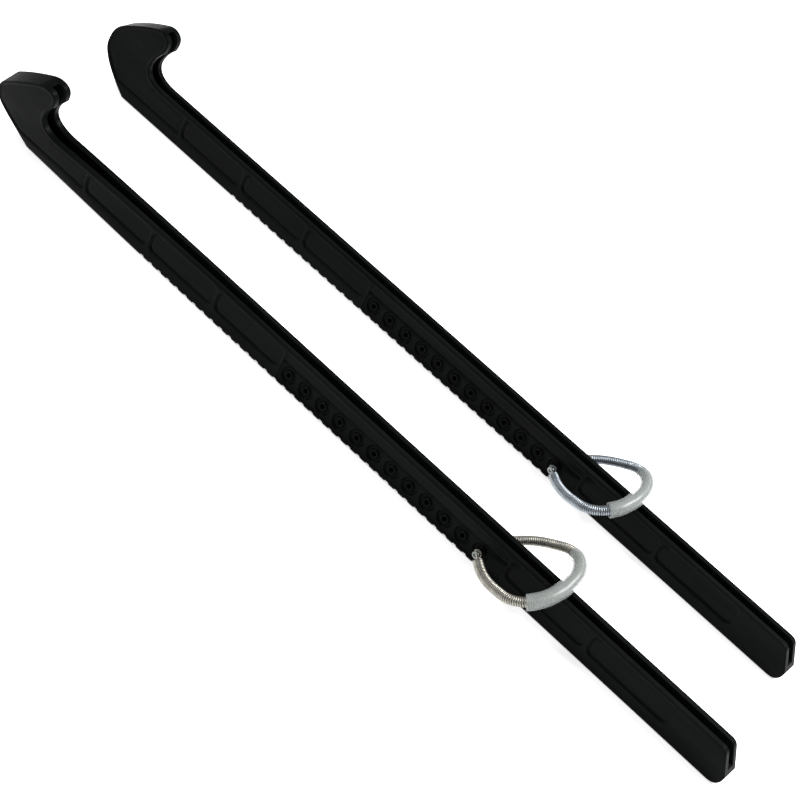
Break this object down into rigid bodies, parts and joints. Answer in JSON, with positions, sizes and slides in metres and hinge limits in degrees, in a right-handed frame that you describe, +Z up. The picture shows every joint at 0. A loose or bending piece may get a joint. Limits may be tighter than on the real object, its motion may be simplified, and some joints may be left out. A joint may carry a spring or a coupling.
{
  "type": "pair of ice skate blade guards",
  "caption": "Pair of long moulded blade guards for ice skates, each with a hooked toe, a row of cross holes and a sprung heel loop in a clear sleeve.",
  "frame": {"origin": "middle of the pair's footprint, on the surface that the soles stand on", "axes": "+X along the guards from the toe hooks to the open rear ends, +Y from the left guard to the right guard, +Z up"},
  "size_m": [0.4874, 0.1324, 0.0495],
  "materials": {
    "guard_plastic": "black moulded polymer, fine satin",
    "spring_wire": "bright zinc plated spring wire",
    "pin_steel": "plated steel",
    "clear_sleeve": "milky clear vinyl tube"
  },
  "bodies": {
    "left_guard": {"left_guard_body": "guard_plastic", "left_cross_pin": "pin_steel", "left_pin_cap": "pin_steel"},
    "left_loop": {"left_spring_coil": "spring_wire", "left_spring_eye_head_end": "spring_wire", "left_spring_eye_cap_end": "spring_wire", "left_clear_sleeve": "clear_sleeve"},
    "right_guard": {"right_guard_body": "guard_plastic", "right_cross_pin": "pin_steel", "right_pin_cap": "pin_steel"},
    "right_loop": {"right_spring_coil": "spring_wire", "right_spring_eye_head_end": "spring_wire", "right_spring_eye_cap_end": "spring_wire", "right_clear_sleeve": "clear_sleeve"}
  },
  "joints": [
    {"name": "left_loop_swing", "type": "hinge", "parent": "left_guard", "child": "left_loop", "pos_m": [0.09932, -0.04019, 0.0071], "axis": [0, -1, 0], "range_deg": [0, 132]},
    {"name": "right_loop_swing", "type": "hinge", "parent": "right_guard", "child": "right_loop", "pos_m": [0.08412, 0.04421, 0.0071], "axis": [0, -1, 0], "range_deg": [0, 132]},
    {"name": "guards_apart", "type": "slide", "parent": "left_guard", "child": "right_guard", "axis": [0, 1, 0], "range_m": [0, 0.1]}
  ]
}
